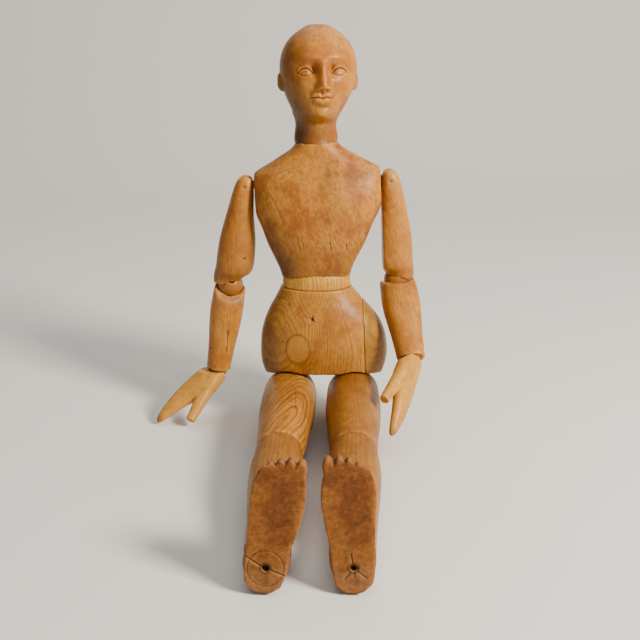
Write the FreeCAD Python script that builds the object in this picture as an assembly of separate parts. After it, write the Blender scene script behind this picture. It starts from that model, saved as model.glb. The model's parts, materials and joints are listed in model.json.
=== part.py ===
"""A carved pine artist's mannequin, seated with its legs out in front and its arms hanging.

Every limb is a carved block. At each joint a slotted ball takes a flat tongue on a cross pin, and the
hollowed ends of the two limbs close over the ball. Some balls also turn on a round peg, so the limb twists.
Lengths are in millimetres. +X is the figure's left, -Y is the way it faces, +Z is up.
"""
import FreeCAD, Part
import math
import os

V = FreeCAD.Vector
RIGHT, LEFT = -1, 1
NAMES = {RIGHT: "right", LEFT: "left"}

# Driving dimensions.
UPPER_ARM = 96.0           # shoulder hinge to elbow
FOREARM = 82.0             # elbow to wrist
HAND = 75.0                # wrist to finger tips
THIGH = 145.0              # hip to knee
SHIN = 141.0               # knee to ankle
ANKLE_HEIGHT = 21.0        # ankle above the sole
HEEL_BACK = 18.0           # heel behind the ankle
CHEST_HALF = 55.8          # middle to the flat sides of the chest
NECK_FOOT = 122.0          # waist to the foot of the neck
SHOULDER_RISE = 90.0       # waist to the shoulder pegs
SHOULDER_SPREAD = 64.6     # middle of the chest to the shoulder hinges
TORSO_UNDER = 2.0          # waist to the underside of the torso
CHEST_SHIFT = 4.8          # the chest is carved a little to the left of the waist
NECK_SHIFT = 5.3           # and the neck a little more
HEAD_SHIFT = 2.2           # the skull sits a little to the left of the neck
PELVIS_TOP = 102.0         # hips to the top of the pelvis
PELVIS_UNDER = 19.0        # hips to the underside of the pelvis
SIDE_SEAM = 43.5           # middle to the seam of the slab glued to the pelvis's left side
SIDE_SEAM_LEAN = 0.045     # how much that seam leans

FOREARM_FULLER = {RIGHT: 1.0, LEFT: 1.14}    # the left forearm is carved wider than the right
HAND_FULLER = {RIGHT: 1.08, LEFT: 1.12}      # and the hands differ too

# Rest pose: where the joints sit and how the limbs point.
HIP = {RIGHT: V(-26.7, 0, 27), LEFT: V(30.7, 0, 27)}
WAIST = V(-3.1, 0, 133)
TRUNK_UP = V(-0.0436, 0.0924, 0.9948)
HEAD_YAW = 7.5
THIGH_ALONG = {RIGHT: V(-0.043, -0.999, 0.014), LEFT: V(-0.022, -0.9995, 0.014)}
SHIN_ALONG = {RIGHT: V(-0.026, -0.9947, -0.093), LEFT: V(-0.035, -0.9944, -0.093)}
FOOT_ALONG = {RIGHT: V(0.0, -0.986, 0.168), LEFT: V(0.0, -0.986, 0.168)}
FOOT_ACROSS = {RIGHT: V(0.986, 0, -0.165), LEFT: V(0.998, 0, 0.06)}
UPPER_ARM_ALONG = {RIGHT: V(-0.165, 0.072, -0.983), LEFT: V(0.088, 0.089, -0.992)}
FOREARM_ALONG = {RIGHT: V(-0.158, -0.06, -0.985), LEFT: V(0.128, -0.697, -0.705)}
HAND_ALONG = {RIGHT: V(-0.73, -0.40, -0.554), LEFT: V(-0.27, -0.675, -0.685)}
HAND_THUMBWARD = {RIGHT: V(0.583, -0.72, -0.375), LEFT: V(-0.50, -0.40, 0.77)}

# Fits.
SOCKET_GAP = 0.3           # between a ball and the hollow over it
RUNNING = 0.06             # between a turning peg or pin and its bore
SIDE_GAP = 0.2             # between a tongue and each side of its slot
SEAM = 0.2                 # half the gap where two limb ends close together
TIP_GAP = 0.4              # between a tongue's round tip and the floor of its slot
BACK_ROOM = 0.12           # the slot's extra width behind a tongue, as a part of the ball's radius
THROUGH = 60.0             # long enough to drill or slot right through any limb
FAR = 200.0                # larger than any block, for cutting one off at a plane

# Ball joints. The tongue is thick by twice wide, and its round tip has its own radius.
ELBOW = dict(ball=11.8, thick=5.0, wide=4.4, tip=8.0, peg=4.4, deep=32.0, pin=1.3)
WRIST = dict(ball=8.2, thick=3.6, wide=3.2, tip=5.6, peg=3.2, deep=22.0, pin=1.0)
HIP_JOINT = dict(ball=21.8, thick=7.6, wide=5.8, tip=12.0, peg=6.6, deep=58.0, pin=2.0)
KNEE = dict(ball=15.0, thick=6.5, wide=6.0, tip=11.0, peg=6.0, deep=40.0, pin=1.8)
ANKLE = dict(ball=10.4, thick=4.2, wide=3.8, tip=7.2, peg=3.8, deep=26.0, pin=1.2)
WAIST_JOINT = dict(across=31.0, ball=21.0, thick=9.0, wide=6.0, tip=5.2, peg=8.0, deep=36.0, pin=2.0)
NECK = dict(ball=22.0, rise=14.0, thick=6.5, wide=5.8, tip=6.2, peg=7.0, deep=50.0, pin=1.6)
SHOULDER = dict(thick=4.6, wide=3.6, tip=4.8, root=8.5, peg=3.8, deep=34.0, pin=1.3)

SHOULDER_ROUND = 8.2       # the arm's flat and rounded inner side, out from the shoulder hinge

# How far the limb ends are cut back on the side that closes, in degrees from square.
ELBOW_CUTS = dict(above=12, below=42)
WRIST_CUT = {RIGHT: 58, LEFT: 36}
KNEE_CUTS = dict(above=36, below=36)

# How far each slot lets its tongue swing from straight, in degrees.
ELBOW_REACH = {RIGHT: 44, LEFT: 58}
WRIST_REACH = 60
KNEE_REACH = 72
HIP_REACH = 94
HIP_SOCKET = 24.9          # the hollow in the pelvis, with room for the thigh's rim to ride in it
THIGH_ROOM = 26.6          # the hollow that the top of the thigh swings up into
ANKLE_OPEN = 3.2           # ankle to the end of the shin, and again to the top of the foot

THUMB_SPLAY = 0.45         # how far the thumb leans out, per unit along the hand
HEEL_HOLE_RADIUS = 2.4
HEEL_HOLE_DEPTH = 6.5
OUTLINE_POINTS = 20

# Toes from the big one: how far inwards, heel hole to tip, half width, and height above the sole.
TOES = ((13.0, 77.5, 4.3, 5.6), (5.4, 77.8, 3.6, 5.0), (-1.2, 76.2, 3.4, 4.8), (-7.4, 72.8, 3.3, 4.6),
        (-12.8, 67.6, 3.2, 4.4))
TOE_LENGTH = 8.0           # half a toe's length


# Shapes.

def ring(z, half_x, front, back, x=0.0, y=0.0, square=2.3):
    """A closed smooth outline at height z. It is an ellipse at square=2 and boxier above. Front is -Y."""
    points = []
    for k in range(OUTLINE_POINTS):
        a = 2 * math.pi * k / OUTLINE_POINTS
        across = half_x * math.copysign(abs(math.cos(a)) ** (2 / square), math.cos(a))
        depth = back if math.sin(a) > 0 else front
        deep = depth * math.copysign(abs(math.sin(a)) ** (2 / square), math.sin(a))
        points.append(V(x + across, y + deep, z))
    curve = Part.BSplineCurve()
    curve.interpolate(Points=points, PeriodicFlag=True)
    return Part.Wire(curve.toShape())


def loft(*sections):
    """A carved block through rows of z, half width, front, back and, if given, x and y shifts and square."""
    return Part.makeLoft([ring(*s) for s in sections], True, False)


def box(x0, x1, y0, y1, z0, z1):
    return Part.makeBox(x1 - x0, y1 - y0, z1 - z0, V(x0, y0, z0))


def rod(radius, start, end):
    return Part.makeCylinder(radius, (end - start).Length, start, end - start)


def unit(vector):
    return vector / vector.Length


def frame(origin, along, across):
    """A limb's own frame: -Z runs along the limb and +X is as near as can be to across."""
    z = unit(along * -1)
    x = unit(across - z * across.dot(z))
    y = z.cross(x)
    m = FreeCAD.Matrix(x.x, y.x, z.x, origin.x, x.y, y.y, z.y, origin.y, x.z, y.z, z.z, origin.z, 0, 0, 0, 1)
    return FreeCAD.Placement(m)


def placed(shape, placement):
    return shape.transformed(placement.toMatrix())


def beyond(point, normal):
    """A block that fills the normal's side of the plane through a point."""
    return placed(box(-FAR, FAR, -FAR, FAR, 0, FAR), frame(point, normal * -1, perpendicular(normal)))


def perpendicular(vector):
    other = V(1, 0, 0) if abs(unit(vector).x) < 0.8 else V(0, 1, 0)
    return vector.cross(other)


def spheroid(across, radius):
    """A solid of revolution about X, with half length across."""
    solid = Part.makeSphere(radius)
    stretch = FreeCAD.Matrix()
    stretch.A11 = across / radius
    return solid.transformGeometry(stretch)


def one(shape):
    """The largest solid of a shape."""
    return max(shape.Solids, key=lambda s: s.Volume)


# Ball joints.

def hinge_axis(parent_along, child_along, fallback):
    """The hinge's axis, about which a positive turn bends the child further."""
    axis = parent_along.cross(child_along)
    if axis.Length < 0.06:
        axis = fallback - unit(child_along) * fallback.dot(unit(child_along))
    return unit(axis)


def tongue(size):
    """A round-ended flat tongue on a round root, hinged at the origin about X and rooted up +Z."""
    half = size["thick"] / 2
    flat = rod(size["tip"], V(-half, 0, 0), V(half, 0, 0))
    flat = flat.common(box(-half, half, -size["wide"], size["wide"], -size["tip"], size["tip"]))
    flat = flat.fuse(box(-half, half, -size["wide"], size["wide"], 0, size["ball"] + 5))
    flat = flat.common(Part.makeSphere(size["ball"] + SOCKET_GAP))
    root = rod(size["peg"], V(0, 0, size["ball"] + SOCKET_GAP / 2), V(0, 0, size["deep"]))
    hole = rod(size["pin"] + RUNNING, V(-half - 1, 0, 0), V(half + 1, 0, 0))
    return one(flat.fuse(root).removeSplitter().cut(hole))


def peg_bore(size, start, away, turning=False):
    """The blind hole for a peg or a tongue's root. A turning peg gets a running fit and room at its end."""
    radius = size["peg"] + (RUNNING if turning else 0)
    return rod(radius, start, start + unit(away) * (size["deep"] + (0.5 if turning else 0)))


def knob_slot(size, reach):
    """The slot for a tongue that swings from straight up towards -Y, by up to reach degrees."""
    half = size["thick"] / 2 + SIDE_GAP
    tip = size["tip"] + TIP_GAP
    side = size["wide"] + SIDE_GAP
    outside = size["ball"] + TIP_GAP + 2 * SIDE_GAP
    a = math.radians(reach)
    start = V(-half, -side * math.cos(a), -side * math.sin(a))
    end = start + V(0, -math.sin(a), math.cos(a)) * outside
    back = size["wide"] + BACK_ROOM * size["ball"]
    corners = [V(-half, back, outside), V(-half, back, 0), start, end, V(-half, end.y, outside)]
    wedge = Part.Face(Part.makePolygon(corners + corners[:1])).extrude(V(2 * half, 0, 0))
    return wedge.fuse(rod(tip, V(-half, 0, 0), V(half, 0, 0)))


def open_slot(size):
    """A slot right across the ball, for a tongue that rocks both ways."""
    half = size["thick"] / 2 + SIDE_GAP
    r = size["ball"] + 1
    tip = size["tip"] + TIP_GAP
    return box(-half, half, -r, r, -tip, r)


def knob(size, slot):
    """A ball on a peg down -Z, with a slot for the tongue."""
    r = size["ball"]
    solid = Part.makeSphere(r).fuse(rod(size["peg"], V(0, 0, 0), V(0, 0, -size["deep"]))).removeSplitter()
    return one(solid.cut(slot).cut(rod(size["pin"], V(-r, 0, 0), V(r, 0, 0))))


def cross_pin(size, half_length):
    return rod(size["pin"], V(-half_length, 0, 0), V(half_length, 0, 0))


def limb_end(solid, size, point, away, axis, closing, towards_parent):
    """Hollows a limb's end over a ball, squares it off, and cuts it back on the side that closes.

    away points from the joint into the limb. The limb closes on the side that the hinge swings to.
    """
    solid = solid.cut(Part.makeSphere(size["ball"] + SOCKET_GAP, point))
    solid = solid.cut(beyond(point + away * SEAM, away * -1))
    if closing:
        shut = axis.cross(away) * (1 if towards_parent else -1)
        a = math.radians(closing)
        solid = solid.cut(beyond(point, shut * math.sin(a) - away * math.cos(a)))
    return one(solid)


# Positions that follow from the pose.

def place_trunk():
    torso = frame(WAIST, TRUNK_UP * -1, V(1, 0, 0))
    hinges = {side: V(side * SHOULDER_SPREAD + CHEST_SHIFT, 0, SHOULDER_RISE) for side in (RIGHT, LEFT)}
    shoulders = {side: torso.multVec(hinges[side]) for side in (RIGHT, LEFT)}
    neck = torso.multVec(V(NECK_SHIFT, 0, NECK_FOOT + NECK["rise"]))
    return torso, shoulders, neck


TORSO_AT, SHOULDER_AT, NECK_AT = place_trunk()
YAW = math.radians(HEAD_YAW)
HEAD_AT = frame(NECK_AT, V(0, 0, -1), V(math.cos(YAW), math.sin(YAW), 0))
ELBOW_AT, WRIST_AT, KNEE_AT, ANKLE_AT = {}, {}, {}, {}
ELBOW_AXIS, WRIST_AXIS, KNEE_AXIS, ANKLE_AXIS, SPREAD_AXIS, HIP_AXIS = {}, {}, {}, {}, {}, {}
for SIDE in (RIGHT, LEFT):
    ELBOW_AT[SIDE] = SHOULDER_AT[SIDE] + unit(UPPER_ARM_ALONG[SIDE]) * UPPER_ARM
    WRIST_AT[SIDE] = ELBOW_AT[SIDE] + unit(FOREARM_ALONG[SIDE]) * FOREARM
    KNEE_AT[SIDE] = HIP[SIDE] + unit(THIGH_ALONG[SIDE]) * THIGH
    ANKLE_AT[SIDE] = KNEE_AT[SIDE] + unit(SHIN_ALONG[SIDE]) * SHIN
    ELBOW_AXIS[SIDE] = hinge_axis(UPPER_ARM_ALONG[SIDE], FOREARM_ALONG[SIDE], V(-1, 0, 0))
    WRIST_AXIS[SIDE] = hinge_axis(FOREARM_ALONG[SIDE], HAND_ALONG[SIDE], V(-1, 0, 0))
    KNEE_AXIS[SIDE] = hinge_axis(THIGH_ALONG[SIDE], SHIN_ALONG[SIDE], V(1, 0, 0))
    HIP_AXIS[SIDE] = unit(V(1, 0, 0) - unit(THIGH_ALONG[SIDE]) * V(1, 0, 0).dot(unit(THIGH_ALONG[SIDE])))
    ANKLE_AXIS[SIDE] = unit(SHIN_ALONG[SIDE].cross(FOOT_ALONG[SIDE]))
    PEG_LINE = TORSO_AT.Rotation.multVec(V(1, 0, 0))
    SPREAD_AXIS[SIDE] = unit(PEG_LINE.cross(UPPER_ARM_ALONG[SIDE])) * -SIDE


# Trunk and head.

def pelvis_block():
    block = loft(
        (PELVIS_UNDER - 4, 51, 25, 36, 3.6, 3, 2.6),
        (PELVIS_UNDER, 53.5, 28, 38, 3.6, 3, 2.6),
        (30, 57.4, 30.5, 41, 3.7, 3, 2.5),
        (45, 58.2, 32, 42, 3.7, 2.5, 2.4),
        (58, 56.5, 31.5, 39, 3, 2, 2.35),
        (72, 51.5, 29.5, 34, 1.5, 1.5, 2.3),
        (85, 43.5, 26.5, 29, -0.6, 1, 2.2),
        (95, 36.2, 23.5, 25, -2.2, 0.5, 2.15),
        (PELVIS_TOP, 32.3, 22, 22.5, -3.1, 0, 2.1),
    )
    block.translate(V(0, 0, HIP[LEFT].z))
    block = block.cut(beyond(V(0, 0, HIP[LEFT].z + PELVIS_UNDER), V(0, 0, -1)))
    rising = math.radians(13)
    block = block.cut(beyond(V(0, 0, HIP[LEFT].z + PELVIS_UNDER), V(0, -math.sin(rising), -math.cos(rising))))
    for side in (RIGHT, LEFT):
        hip = HIP[side]
        block = block.cut(Part.makeSphere(HIP_SOCKET, hip))
        block = block.cut(rod(THIGH_ROOM, hip, hip + unit(THIGH_ALONG[side]) * THROUGH))
        block = block.cut(peg_bore(HIP_JOINT, hip, V(0, 0, 1)))
    block = block.cut(peg_bore(WAIST_JOINT, WAIST, V(0, 0, -1), turning=True))
    return one(block)


def beyond_seam():
    return beyond(V(SIDE_SEAM, 0, 0), V(1, 0, SIDE_SEAM_LEAN))


def pelvis():
    """The main block of the pelvis, without the slab glued to its left side."""
    return one(pelvis_block().cut(beyond_seam()))


def pelvis_side_block():
    return one(pelvis_block().common(beyond_seam()))


def hip_tongue_frame(side):
    return frame(HIP[side], V(0, 0, -1), HIP_AXIS[side] * -1)


def torso():
    block = loft(
        (-8, 29.0, 18.0, 18.0, -0.3, 0, 2.1),
        (5, 30.8, 19.8, 19.4, 0.2, 0, 2.1),
        (20, 36.0, 23.0, 21.5, 1.0, 0, 2.2),
        (39, 45.2, 26.5, 23.5, 2.2, 0, 2.3),
        (58, 53.0, 28.5, 25.5, 3.6, 0, 2.4),
        (72, 58.0, 28.5, 27.0, 4.6, 0, 2.5),
        (86, 59.6, 26.0, 27.0, 4.9, 0, 2.5),
        (98, 57.4, 21.0, 24.5, 5.0, 0, 2.4),
        (105, 48.0, 18.5, 22.0, 5.1, 0, 2.3),
        (112, 36.0, 18.0, 20.5, 5.2, 0, 2.2),
        (118, 25.5, 18.6, 19.6, 5.2, 0, 2.1),
        (NECK_FOOT + 4, 19.4, 19.4, 19.4, NECK_SHIFT, 0, 2.0),
    )
    flat_sides = box(CHEST_SHIFT - CHEST_HALF, CHEST_SHIFT + CHEST_HALF, -FAR, FAR, TORSO_UNDER, FAR)
    block = block.common(flat_sides)
    block = block.cut(spheroid(WAIST_JOINT["across"] + SOCKET_GAP, WAIST_JOINT["ball"] + SOCKET_GAP))
    neck = V(NECK_SHIFT, 0, NECK_FOOT + NECK["rise"])
    block = block.cut(Part.makeSphere(NECK["ball"] + SOCKET_GAP, neck))
    block = block.cut(peg_bore(WAIST_JOINT, V(0, 0, 0), V(0, 0, 1)))
    block = block.cut(peg_bore(NECK, neck, V(0, 0, -1), turning=True))
    for side in (RIGHT, LEFT):
        hinge = V(side * SHOULDER_SPREAD + CHEST_SHIFT, 0, SHOULDER_RISE)
        block = block.cut(peg_bore(SHOULDER, hinge, V(-side, 0, 0), turning=True))
    return placed(one(block), TORSO_AT)


def waist_ball():
    """The wide lens in the waist. It sits flat on the pelvis, turns on its peg, and the trunk rocks on it."""
    seat = HIP[LEFT].z + PELVIS_TOP - WAIST.z + 0.15
    lens = spheroid(WAIST_JOINT["across"], WAIST_JOINT["ball"])
    lens = placed(lens, FreeCAD.Placement(V(0, 0, 0), TORSO_AT.Rotation))
    lens = lens.cut(beyond(V(0, 0, seat), V(0, 0, -1)))
    lens = lens.fuse(rod(WAIST_JOINT["peg"], V(0, 0, -WAIST_JOINT["deep"]), V(0, 0, seat + 1)))
    slot = WAIST_JOINT["thick"] / 2 + SIDE_GAP
    tip = WAIST_JOINT["tip"] + TIP_GAP
    room = WAIST_JOINT["wide"] + 6.0
    lens.translate(WAIST)
    lens = lens.cut(placed(box(-slot, slot, -room, room, -tip, THROUGH), TORSO_AT))
    pin_line = TORSO_AT.Rotation.multVec(V(1, 0, 0))
    return one(lens.cut(rod(WAIST_JOINT["pin"], WAIST - pin_line * THROUGH, WAIST + pin_line * THROUGH)))


def waist_tongue():
    return placed(tongue(WAIST_JOINT), TORSO_AT)


def waist_pin():
    return placed(cross_pin(WAIST_JOINT, 29.5), TORSO_AT)


def neck_tongue():
    """The neck's peg and tongue. The peg turns in the chest, with the head nodding on the tongue."""
    flipped = frame(V(0, 0, 0), V(0, 0, 1), V(1, 0, 0))
    return placed(placed(tongue(NECK), flipped), neck_frame())


def neck_frame():
    """The neck peg's frame: it leans with the trunk and turns with the head."""
    up = TORSO_AT.Rotation.multVec(V(0, 0, 1))
    return frame(NECK_AT, up * -1, HEAD_AT.Rotation.multVec(V(1, 0, 0)))


def neck_pin():
    return placed(cross_pin(NECK, 17.4), neck_frame())


def head():
    """A bald egg of a head on a straight neck, with its ears and nose. The neck ends in a ball shape."""
    z0 = -NECK["rise"]
    egg = loft(
        (z0 - 10, 19.0, 19.0, 19.0, 0, 0, 2.0),
        (z0 + 2, 18.6, 18.6, 18.6, 0, 0, 2.0),
        (z0 + 16, 18.0, 18.2, 18.2, 0, 0, 2.0),
        (z0 + 23, 18.8, 23.0, 18.8, 0, 0, 2.1),
        (z0 + 31, 22.5, 28.5, 22.0, 0.2 * HEAD_SHIFT, 0, 2.2),
        (z0 + 40, 27.0, 31.0, 28.5, 0.5 * HEAD_SHIFT, 0, 2.2),
        (z0 + 51, 31.0, 32.5, 35.5, 0.9 * HEAD_SHIFT, 0, 2.15),
        (z0 + 62, 33.2, 33.0, 39.5, HEAD_SHIFT, 0, 2.1),
        (z0 + 74, 32.8, 32.0, 40.0, HEAD_SHIFT, 0, 2.1),
        (z0 + 85, 29.0, 27.5, 35.5, HEAD_SHIFT, 0, 2.05),
        (z0 + 93, 22.8, 21.5, 28.5, HEAD_SHIFT, 0, 2.0),
        (z0 + 98.7, 15.0, 13.5, 20.0, HEAD_SHIFT, 0, 2.0),
        (z0 + 101.8, 6.8, 5.0, 11.0, HEAD_SHIFT, 0, 2.0),
    )
    rounded = Part.makeSphere(NECK["ball"]).fuse(box(-FAR, FAR, -FAR, FAR, 0, FAR))
    solid = one(egg.common(rounded))
    bridge = HEAD_SHIFT, -30, 2.0
    nose = loft((z0 + 51, 3.8, 5.0, 6.0, *bridge), (z0 + 54, 4.6, 7.4, 6.0, *bridge),
                (z0 + 61, 3.4, 5.2, 6.0, *bridge), (z0 + 69, 2.6, 2.6, 6.0, *bridge))
    solid = solid.fuse(nose)
    for side in (RIGHT, LEFT):
        ear = spheroid(3.2, 8.0)
        ear.translate(V(side * 31.8 + HEAD_SHIFT, 3, z0 + 54.6))
        solid = solid.fuse(ear)
    slot = NECK["thick"] / 2 + SIDE_GAP
    room = NECK["wide"] + 8.0
    tip = NECK["tip"] + TIP_GAP
    slot = placed(box(-slot, slot, -room, room, -THROUGH, tip), neck_frame())
    solid = placed(one(solid), HEAD_AT).cut(slot)
    pin_line = neck_frame().Rotation.multVec(V(1, 0, 0))
    return one(solid.cut(rod(NECK["pin"], NECK_AT - pin_line * THROUGH, NECK_AT + pin_line * THROUGH)))


# Arms.

def arm_frame(side, at, along):
    return frame(at, along, ELBOW_AXIS[side] * -1)


def shoulder_frame(side):
    """The shoulder peg's frame: -Z points out from the chest along the peg."""
    out = TORSO_AT.Rotation.multVec(V(side, 0, 0))
    return frame(SHOULDER_AT[side], out, SPREAD_AXIS[side])


def shoulder_peg(side):
    size = SHOULDER
    flat_half = size["thick"] / 2
    flat = rod(size["tip"], V(-flat_half, 0, 0), V(flat_half, 0, 0))
    flat = flat.common(box(-flat_half, flat_half, -size["wide"], size["wide"], -9, 9))
    flat = flat.fuse(box(-flat_half, flat_half, -size["wide"], size["wide"], 0, size["root"] + 0.2))
    root = rod(size["peg"], V(0, 0, size["root"]), V(0, 0, size["deep"]))
    peg = flat.fuse(root).removeSplitter().cut(rod(size["pin"] + RUNNING, V(-6, 0, 0), V(6, 0, 0)))
    return placed(one(peg), shoulder_frame(side))


def shoulder_pin(side):
    return placed(cross_pin(SHOULDER, 9.6), shoulder_frame(side))


def upper_arm(side):
    block = loft(
        (8.2, 3.0, 4.5, 4.5, side * -1.6),
        (6.6, 5.0, 7.4, 7.4, side * -0.8),
        (2, 7.4, 9.8, 9.8),
        (-5, 9.0, 11.0, 11.0, side * 0.2),
        (-15, 10.4, 11.8, 11.8, side * 0.4),
        (-31, 13.0, 13.2, 13.2),
        (-51, 16.4, 14.8, 14.6, side * -0.8),
        (-67, 17.2, 15.4, 15.2, side * -1.2),
        (-80, 16.4, 15.0, 15.0, side * -0.6),
        (-UPPER_ARM - 6, 14.4, 13.8, 14.0, 0),
    )
    at, along, axis = SHOULDER_AT[side], unit(UPPER_ARM_ALONG[side]), ELBOW_AXIS[side]
    inwards = TORSO_AT.Rotation.multVec(V(-side, 0, 0))
    block = placed(block, arm_frame(side, at, along)).cut(beyond(at + inwards * SHOULDER_ROUND, inwards))
    shoulder = frame(at, along, inwards)
    corner = box(0, THROUGH, -THROUGH, THROUGH, 0, THROUGH)
    corner = corner.cut(rod(SHOULDER_ROUND, V(0, -THROUGH, 0), V(0, THROUGH, 0)))
    block = block.cut(placed(corner, shoulder))
    tongue_room = SHOULDER["thick"] / 2 + SIDE_GAP
    reach = SHOULDER["tip"] + TIP_GAP
    slot = box(-reach, THROUGH, -tongue_room, tongue_room, -SHOULDER["wide"] - 3.0, THROUGH)
    block = block.cut(placed(slot, shoulder))
    pin_line = shoulder_frame(side).Rotation.multVec(V(1, 0, 0))
    block = block.cut(rod(SHOULDER["pin"], at - pin_line * THROUGH, at + pin_line * THROUGH))
    block = limb_end(block, ELBOW, ELBOW_AT[side], along * -1, axis, ELBOW_CUTS["above"], False)
    return one(block.cut(peg_bore(ELBOW, ELBOW_AT[side], along * -1)))


def elbow_tongue(side):
    return placed(tongue(ELBOW), frame(ELBOW_AT[side], unit(UPPER_ARM_ALONG[side]), ELBOW_AXIS[side] * -1))


def elbow_ball(side):
    ball = knob(ELBOW, knob_slot(ELBOW, ELBOW_REACH[side]))
    return placed(ball, arm_frame(side, ELBOW_AT[side], FOREARM_ALONG[side]))


def elbow_pin(side):
    return placed(cross_pin(ELBOW, ELBOW["ball"] - 0.5), arm_frame(side, ELBOW_AT[side], FOREARM_ALONG[side]))


def forearm(side):
    fuller = FOREARM_FULLER[side]
    block = loft(
        (6, 13.6 * fuller, 13.4, 13.8),
        (-4, 14.2 * fuller, 13.8, 14.0),
        (-16, 15.0 * fuller, 14.6, 14.6),
        (-30, 15.0 * fuller, 14.6, 14.4),
        (-50, 13.3 * fuller, 12.9, 12.9),
        (-68, 11.8 * fuller, 11.4, 11.4),
        (-FOREARM - 4, 10.8 * fuller, 10.4, 10.4),
    )
    at, along = ELBOW_AT[side], unit(FOREARM_ALONG[side])
    block = placed(block, arm_frame(side, at, along))
    block = limb_end(block, ELBOW, at, along, ELBOW_AXIS[side], ELBOW_CUTS["below"], True)
    block = block.cut(peg_bore(ELBOW, at, along))
    wrist = WRIST_AT[side]
    block = limb_end(block, WRIST, wrist, along * -1, WRIST_AXIS[side], 0, False)
    return one(block.cut(peg_bore(WRIST, wrist, along * -1, turning=True)))


def wrist_ball(side):
    """The wrist's ball turns on its peg in the forearm."""
    ball = knob(WRIST, knob_slot(WRIST, WRIST_REACH))
    return placed(ball, frame(WRIST_AT[side], unit(FOREARM_ALONG[side]) * -1, WRIST_AXIS[side]))


def wrist_pin(side):
    return placed(cross_pin(WRIST, WRIST["ball"] - 0.4),
                  frame(WRIST_AT[side], unit(FOREARM_ALONG[side]) * -1, WRIST_AXIS[side]))


def wrist_tongue(side):
    return placed(tongue(WRIST), frame(WRIST_AT[side], unit(HAND_ALONG[side]) * -1, WRIST_AXIS[side]))


def hand(side):
    """A mitten hand: the palm and fingers in one, and a separate thumb. +X is the thumb's side."""
    fuller = HAND_FULLER[side]
    palm = loft(
        (6, 9.6 * fuller, 8.8, 8.8, 0.4),
        (-4, 10.8 * fuller, 9.0, 9.0, 0.8),
        (-14, 12.6 * fuller, 8.8, 8.8, 1.4),
        (-29, 12.8 * fuller, 7.6, 7.6, 1.4),
        (-39, 9.8 * fuller, 6.4, 6.4, -1.4),
        (-50, 7.6 * fuller, 5.4, 5.4, -2.2),
        (-63, 5.2 * fuller, 4.2, 4.2, -1.8),
        (-72, 3.2, 2.8, 2.8, -0.8),
        (-HAND, 1.6, 1.5, 1.5, -0.2),
    )
    thumb = loft((0, 7.4, 6.6, 6.6), (-14, 6.2, 5.8, 5.8), (-28, 5.0, 4.8, 4.8), (-38, 4.4, 4.3, 4.3))
    thumb = placed(thumb, frame(V(7.5, 0, -18), V(THUMB_SPLAY, 0, -1), V(1, 0, 0)))
    block = placed(palm.fuse(thumb), frame(WRIST_AT[side], HAND_ALONG[side], HAND_THUMBWARD[side]))
    away = unit(HAND_ALONG[side])
    block = limb_end(block, WRIST, WRIST_AT[side], away, WRIST_AXIS[side], WRIST_CUT[side], True)
    return one(block.cut(peg_bore(WRIST, WRIST_AT[side], away)))


# Legs.

def leg_frame(side, at, along):
    return frame(at, along, V(1, 0, 0))


def hip_tongue(side):
    return placed(tongue(HIP_JOINT), hip_tongue_frame(side))


def hip_ball(side):
    """The hip's ball and peg. The thigh turns on the peg and the ball swings on the pelvis's tongue."""
    ball = knob(HIP_JOINT, knob_slot(HIP_JOINT, HIP_REACH))
    return placed(ball, frame(HIP[side], THIGH_ALONG[side], HIP_AXIS[side]))


def hip_pin(side):
    pin = cross_pin(HIP_JOINT, HIP_JOINT["ball"] - 0.6)
    return placed(pin, frame(HIP[side], THIGH_ALONG[side], HIP_AXIS[side]))


def thigh(side):
    block = loft(
        (-7.4, 23.4, 23.6, 23.6),
        (-14, 23.9, 24.3, 24.5),
        (-25, 24.2, 24.6, 25.4),
        (-45, 24.4, 25.0, 26.4),
        (-75, 23.4, 24.0, 25.4),
        (-105, 21.4, 22.4, 23.2),
        (-128, 20.0, 21.2, 21.0),
        (-THIGH - 6, 19.6, 20.6, 19.6),
    )
    at, along, axis = HIP[side], unit(THIGH_ALONG[side]), KNEE_AXIS[side]
    block = placed(block, leg_frame(side, at, along))
    block = block.cut(Part.makeSphere(HIP_JOINT["ball"] + SOCKET_GAP, at))
    block = block.cut(peg_bore(HIP_JOINT, at, along, turning=True))
    knee = KNEE_AT[side]
    block = limb_end(block, KNEE, knee, along * -1, axis, KNEE_CUTS["above"], False)
    return one(block.cut(peg_bore(KNEE, knee, along * -1)))


def knee_tongue(side):
    return placed(tongue(KNEE), frame(KNEE_AT[side], unit(THIGH_ALONG[side]), KNEE_AXIS[side] * -1))


def knee_ball(side):
    ball = knob(KNEE, knob_slot(KNEE, KNEE_REACH))
    return placed(ball, frame(KNEE_AT[side], SHIN_ALONG[side], KNEE_AXIS[side] * -1))


def knee_pin(side):
    pin = cross_pin(KNEE, KNEE["ball"] - 0.6)
    return placed(pin, frame(KNEE_AT[side], SHIN_ALONG[side], KNEE_AXIS[side] * -1))


def shin(side):
    block = loft(
        (6, 19.4, 20.2, 19.6),
        (-8, 19.6, 20.0, 20.0),
        (-26, 21.0, 19.6, 22.6),
        (-50, 21.2, 18.6, 23.0),
        (-80, 19.2, 17.2, 19.6),
        (-108, 17.4, 15.8, 16.6),
        (-SHIN - 3, 16.6, 15.6, 15.8),
    )
    at, along = KNEE_AT[side], unit(SHIN_ALONG[side])
    block = placed(block, leg_frame(side, at, along))
    block = limb_end(block, KNEE, at, along, KNEE_AXIS[side], KNEE_CUTS["below"], True)
    block = block.cut(peg_bore(KNEE, at, along))
    ankle = ANKLE_AT[side]
    block = block.cut(beyond(ankle - along * ANKLE_OPEN, along))
    block = block.cut(Part.makeSphere(ANKLE["ball"] + SOCKET_GAP, ankle))
    return one(block.cut(peg_bore(ANKLE, ankle, along * -1, turning=True)))


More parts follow.
